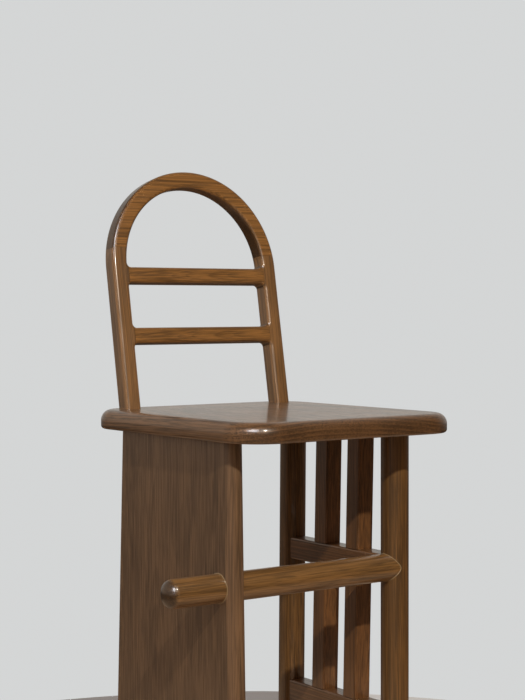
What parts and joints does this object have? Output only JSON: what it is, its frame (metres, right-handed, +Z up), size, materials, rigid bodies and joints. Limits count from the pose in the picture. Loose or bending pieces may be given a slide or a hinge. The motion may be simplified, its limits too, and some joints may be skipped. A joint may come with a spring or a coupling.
{
  "type": "ladder-back bar stool",
  "caption": "Bar stool in dark stained solid wood with a hooped ladder back, a solid board for one side, a lattice of legs, slats and rails for the other, and a bar that runs through the board.",
  "frame": {"origin": "on the floor, in the middle of the box that the whole stool fills", "axes": "+Z up. The sitter faces -Y and leans back towards +Y. The solid board is on the -X side and the lattice on the +X side."},
  "size_m": [0.4654, 0.4658, 1.0744],
  "materials": {
    "wood": "dark walnut stain under satin lacquer, open grain",
    "dowel": "plain unfinished beech, hidden in the joints",
    "glide": "dark brown nylon, slightly rough",
    "nail": "bright drawn steel"
  },
  "bodies": {
    "root": {"seat": "wood", "back_arch": "wood", "back_upright_left": "wood", "back_upright_right": "wood", "arch_dowel_left": "dowel", "arch_dowel_right": "dowel", "back_slat_upper": "wood", "back_slat_lower": "wood", "side_panel": "wood", "panel_dowel_front": "dowel", "panel_dowel_middle": "dowel", "panel_dowel_rear": "dowel", "leg_front": "wood", "leg_rear": "wood", "lattice_slat_front": "wood", "lattice_slat_rear": "wood", "lattice_rail_upper": "wood", "lattice_rail_lower": "wood", "through_bar": "wood", "footrest_bar": "wood", "glide_leg_front": "glide", "glide_leg_rear": "glide", "glide_panel_front": "glide", "glide_panel_rear": "glide", "glide_nail_leg_front": "nail", "glide_nail_leg_rear": "nail", "glide_nail_panel_front": "nail", "glide_nail_panel_rear": "nail"}
  },
  "joints": []
}
